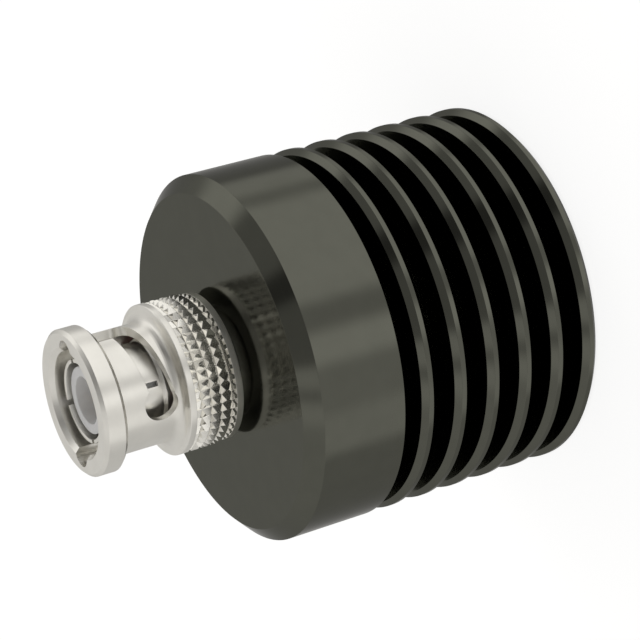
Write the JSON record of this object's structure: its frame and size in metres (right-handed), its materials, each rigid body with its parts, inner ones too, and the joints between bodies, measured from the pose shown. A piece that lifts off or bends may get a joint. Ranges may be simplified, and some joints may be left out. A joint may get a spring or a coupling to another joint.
{
  "type": "coaxial dummy load",
  "caption": "Radio-frequency dummy load: finned black cylindrical heat sink with a nickel-plated bayonet coaxial plug, standing on its flat rear face.",
  "frame": {"origin": "centre of the heat sink's flat rear face, on which the load stands", "axes": "+Z along the axis, from the rear face to the open end of the plug; the plug's bayonet slots open 77 degrees from +X and opposite"},
  "size_m": [0.0356, 0.0356, 0.046],
  "materials": {
    "black_anodise": "black anodised, semi-gloss",
    "nickel_plate": "bright nickel plate over brass",
    "white_dielectric": "white fluoropolymer, as turned",
    "gold_plate": "gold plate over brass",
    "spring_steel": "bright spring steel",
    "gasket_rubber": "matt silicone rubber",
    "resistor_film": "dark resistive film on ceramic",
    "bare_brass": "turned brass"
  },
  "bodies": {
    "load": {"heatsink": "black_anodise", "connector_body": "nickel_plate", "outer_contact": "nickel_plate", "front_insulator": "white_dielectric", "rear_insulator": "white_dielectric", "centre_pin": "gold_plate", "wave_washer": "spring_steel", "thrust_washer": "spring_steel", "retaining_ring": "spring_steel", "gasket": "gasket_rubber", "pin_socket": "gold_plate", "front_cap": "nickel_plate", "film_resistor": "resistor_film", "rear_cap": "nickel_plate", "taper_sleeve": "bare_brass", "end_plug": "bare_brass"},
    "carrier": {"slip_washer": "spring_steel"},
    "nut": {"coupling_nut": "nickel_plate"}
  },
  "joints": [
    {"name": "coupling_float", "type": "slide", "parent": "load", "child": "carrier", "axis": [0, 0, 1], "range_m": [0, 0.0006], "stiffness_N_per_m": 15000, "springref_m": -0.0002, "deforming": ["wave_washer"]},
    {"name": "coupling_spin", "type": "hinge", "parent": "carrier", "child": "nut", "pos_m": [0, 0, 0.039], "axis": [0, 0, 1], "continuous": true}
  ]
}
